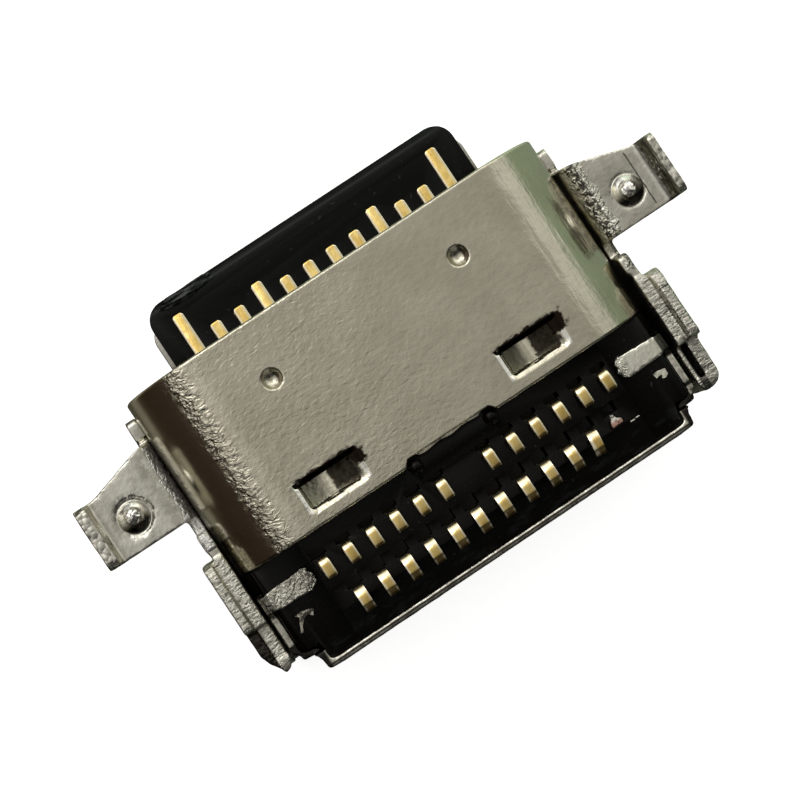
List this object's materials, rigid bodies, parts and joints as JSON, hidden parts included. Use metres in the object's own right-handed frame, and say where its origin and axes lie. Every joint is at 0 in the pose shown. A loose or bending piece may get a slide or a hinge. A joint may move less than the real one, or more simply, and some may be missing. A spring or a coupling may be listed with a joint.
{
  "type": "usb-c socket",
  "caption": "Mid-mount socket for a reversible data and power plug: contact tongue in a short steel tube, folded side-mount bracket and solder feet.",
  "frame": {"origin": "under the middle of the whole part, on the bracket's flat underside", "axes": "+X across the socket, +Y out of the mouth along the tongue, +Z towards the side that carries the solder feet"},
  "size_m": [0.0126, 0.0072, 0.0033],
  "materials": {
    "shell_steel": "satin nickel plate with fine grain",
    "bracket_steel": "nickel plate, pressed and sheared",
    "shield_steel": "nickel plate, scuffed tabs",
    "plate_steel": "plain stamped steel",
    "black_moulding": "black, slightly glossy",
    "carrier_moulding": "black, matt",
    "contact_gold": "gold plate over copper alloy"
  },
  "bodies": {
    "root": {"upper_contact_01": "contact_gold", "upper_contact_02": "contact_gold", "upper_contact_03": "contact_gold", "upper_contact_04": "contact_gold", "upper_contact_05": "contact_gold", "upper_contact_06": "contact_gold", "upper_contact_07": "contact_gold", "upper_contact_08": "contact_gold", "upper_contact_09": "contact_gold", "upper_contact_10": "contact_gold", "upper_contact_11": "contact_gold", "upper_contact_12": "contact_gold", "lower_contact_01": "contact_gold", "lower_contact_02": "contact_gold", "lower_contact_03": "contact_gold", "lower_contact_04": "contact_gold", "lower_contact_05": "contact_gold", "lower_contact_06": "contact_gold", "lower_contact_07": "contact_gold", "lower_contact_08": "contact_gold", "lower_contact_09": "contact_gold", "lower_contact_10": "contact_gold", "lower_contact_11": "contact_gold", "lower_contact_12": "contact_gold", "mating_shell": "shell_steel", "mounting_bracket": "bracket_steel", "rear_shield": "shield_steel", "mid_plate": "plate_steel", "upper_ground_pad": "plate_steel", "lower_ground_pad": "plate_steel", "insulator_body": "black_moulding", "upper_contact_carrier": "carrier_moulding", "lower_contact_carrier": "carrier_moulding"}
  },
  "joints": []
}
